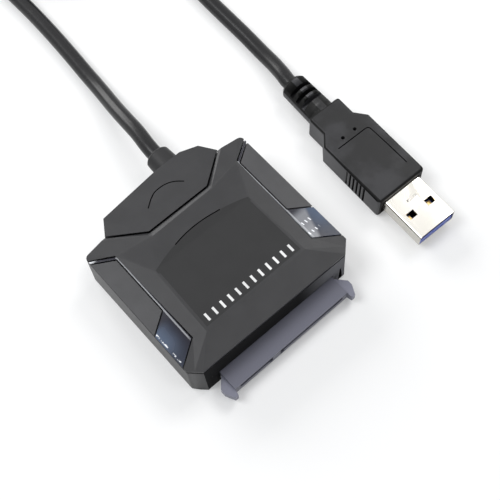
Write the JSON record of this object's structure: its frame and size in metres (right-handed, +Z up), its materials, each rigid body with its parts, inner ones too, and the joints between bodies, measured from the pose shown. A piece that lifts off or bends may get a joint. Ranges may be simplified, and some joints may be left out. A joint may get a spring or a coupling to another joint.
{
  "type": "usb to sata adapter",
  "caption": "Slim faceted adapter case with a drive receptacle on one edge and a lead to a flat computer plug.",
  "frame": {"origin": "centre of the bottom of the box round the case, its receptacle and its grommet, on the surface that it lies on", "axes": "+X to the case's right seen from behind its receptacle, +Y from the receptacle towards the cable outlet, +Z up"},
  "size_m": [0.0883, 0.1806, 0.014],
  "materials": {
    "case": "charcoal moulded plastic, fine satin texture",
    "strip": "smoked translucent plastic, polished",
    "panel": "grey moulded plastic, satin",
    "receptacle": "slate grey moulded plastic, satin",
    "gold": "gold plated spring contact",
    "board": "green solder mask",
    "chip": "black moulded resin",
    "tin": "tinned steel and aluminium cans",
    "lamp": "clear lamp resin",
    "cable": "black satin cable jacket",
    "mould": "black moulded plastic, fine matte texture",
    "shell": "nickel plated folded steel",
    "tongue": "blue moulded plastic",
    "power_wire": "red wire insulation",
    "data_pair": "green wire insulation",
    "receive_pair": "blue wire insulation",
    "transmit_pair": "yellow wire insulation",
    "ground_wire": "black wire insulation"
  },
  "bodies": {
    "root": {"bottom_case": "case", "bridge_chip": "chip", "cable_coil": "cable", "cable_from_case": "cable", "cable_grommet": "case", "cable_to_plug": "cable", "circuit_board": "board", "crystal": "tin", "data_pair": "data_pair", "flash_chip": "chip", "ground_wire": "ground_wire", "inductor": "chip", "input_capacitor": "tin", "left_lamp": "lamp", "left_light_strip": "strip", "left_trim_panel": "panel", "output_capacitor": "tin", "plug_overmould": "mould", "plug_pad_1": "gold", "plug_pad_2": "gold", "plug_pad_3": "gold", "plug_pad_4": "gold", "plug_shell": "shell", "plug_spring_1": "gold", "plug_spring_2": "gold", "plug_spring_3": "gold", "plug_spring_4": "gold", "plug_spring_5": "gold", "plug_tongue": "tongue", "power_contact_1": "gold", "power_contact_10": "gold", "power_contact_11": "gold", "power_contact_12": "gold", "power_contact_13": "gold", "power_contact_14": "gold", "power_contact_15": "gold", "power_contact_2": "gold", "power_contact_3": "gold", "power_contact_4": "gold", "power_contact_5": "gold", "power_contact_6": "gold", "power_contact_7": "gold", "power_contact_8": "gold", "power_contact_9": "gold", "power_wire": "power_wire", "receive_pair": "receive_pair", "regulator": "chip", "right_lamp": "lamp", "right_light_strip": "strip", "right_trim_panel": "panel", "sata_housing": "receptacle", "signal_contact_1": "gold", "signal_contact_2": "gold", "signal_contact_3": "gold", "signal_contact_4": "gold", "signal_contact_5": "gold", "signal_contact_6": "gold", "signal_contact_7": "gold", "top_cover": "case", "transmit_pair": "transmit_pair"}
  },
  "joints": []
}
